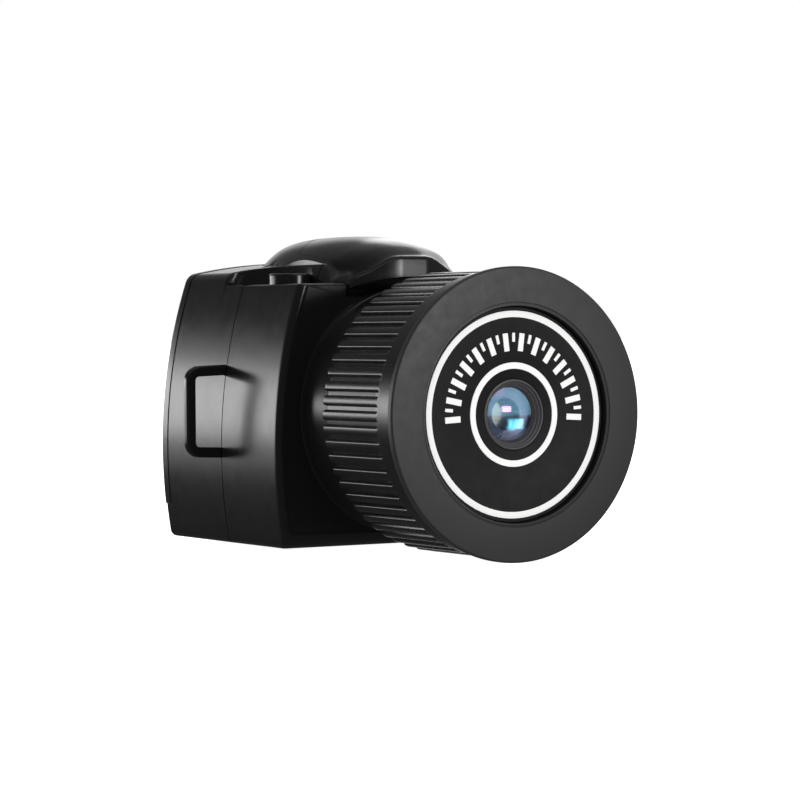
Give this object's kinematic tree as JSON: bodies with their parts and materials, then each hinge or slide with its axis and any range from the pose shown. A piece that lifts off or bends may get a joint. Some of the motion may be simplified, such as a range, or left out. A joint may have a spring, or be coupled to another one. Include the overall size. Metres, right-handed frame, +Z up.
{
  "type": "miniature video camera",
  "caption": "Miniature video camera styled like a single-lens reflex, with a ribbed lens barrel, printed dial, prism hump, deck and rear buttons, strap lugs, card slot and USB port",
  "frame": {"origin": "centre of the bounding box across and along, at its lowest point", "axes": "+Z up, -Y the way the lens looks, the shutter button on the -X side; the lens axis lies along Y"},
  "size_m": [0.0288, 0.034, 0.0242],
  "materials": {
    "gloss_black": "moulded, high gloss",
    "barrel": "moulded, semi-gloss",
    "bezel": "satin dark grey",
    "dial": "flat black",
    "print": "white ink",
    "lens_metal": "satin grey",
    "lens_glass": "coated glass",
    "lens_ring": "anodised blue-violet",
    "lens_inner": "mirror-coated glass",
    "inner_black": "moulded",
    "filter": "filter glass",
    "silicon": "polished die",
    "board": "solder mask",
    "ribbon": "polyimide film",
    "pouch": "laminated foil",
    "lead": "insulated wire",
    "foam": "closed-cell foam",
    "chip": "moulded package",
    "tin": "tin plated",
    "steel": "zinc plated",
    "led": "clear package",
    "clear": "clear acrylic",
    "window": "gloss window",
    "card": "moulded, satin",
    "button": "moulded, gloss"
  },
  "bodies": {
    "camera": {"front_shell": "gloss_black", "rear_shell": "gloss_black", "prism_cover": "gloss_black", "back_cover": "gloss_black", "display_window": "window", "eyepiece_window": "window", "barrel_sleeve": "barrel", "bezel_ring": "bezel", "dial_plate": "dial", "dial_marks": "print", "lens_cell": "lens_metal", "front_element": "lens_glass", "aperture_ring": "lens_ring", "rear_element": "lens_inner", "lens_holder": "inner_black", "infrared_filter": "filter", "image_sensor": "silicon", "sensor_board": "board", "module_carrier": "inner_black", "ribbon_cable": "ribbon", "battery": "pouch", "battery_leads": "lead", "foam_pad": "foam", "main_board": "board", "processor_chip": "chip", "memory_chip": "chip", "crystal": "tin", "board_screws": "steel", "card_socket": "tin", "usb_socket": "tin", "button_board": "board", "shutter_switch": "tin", "microphone": "tin", "rear_switches": "tin", "status_led": "led", "light_pipe": "clear"},
    "memory_card": {"memory_card": "card"},
    "shutter_button": {"shutter_button": "button"},
    "power_button": {"power_button": "button"},
    "mode_button": {"mode_button": "button"}
  },
  "joints": [
    {"name": "shutter_press", "type": "slide", "parent": "camera", "child": "shutter_button", "axis": [0, 0, -1], "range_m": [0, 0.0003], "stiffness_N_per_m": 400},
    {"name": "power_press", "type": "slide", "parent": "camera", "child": "power_button", "axis": [0, -1, 0], "range_m": [0, 0.00025], "stiffness_N_per_m": 400},
    {"name": "mode_press", "type": "slide", "parent": "camera", "child": "mode_button", "axis": [0, -1, 0], "range_m": [0, 0.00025], "stiffness_N_per_m": 400},
    {"name": "card_slide", "type": "slide", "parent": "camera", "child": "memory_card", "axis": [1, 0, 0], "range_m": [0, 0.015]}
  ]
}
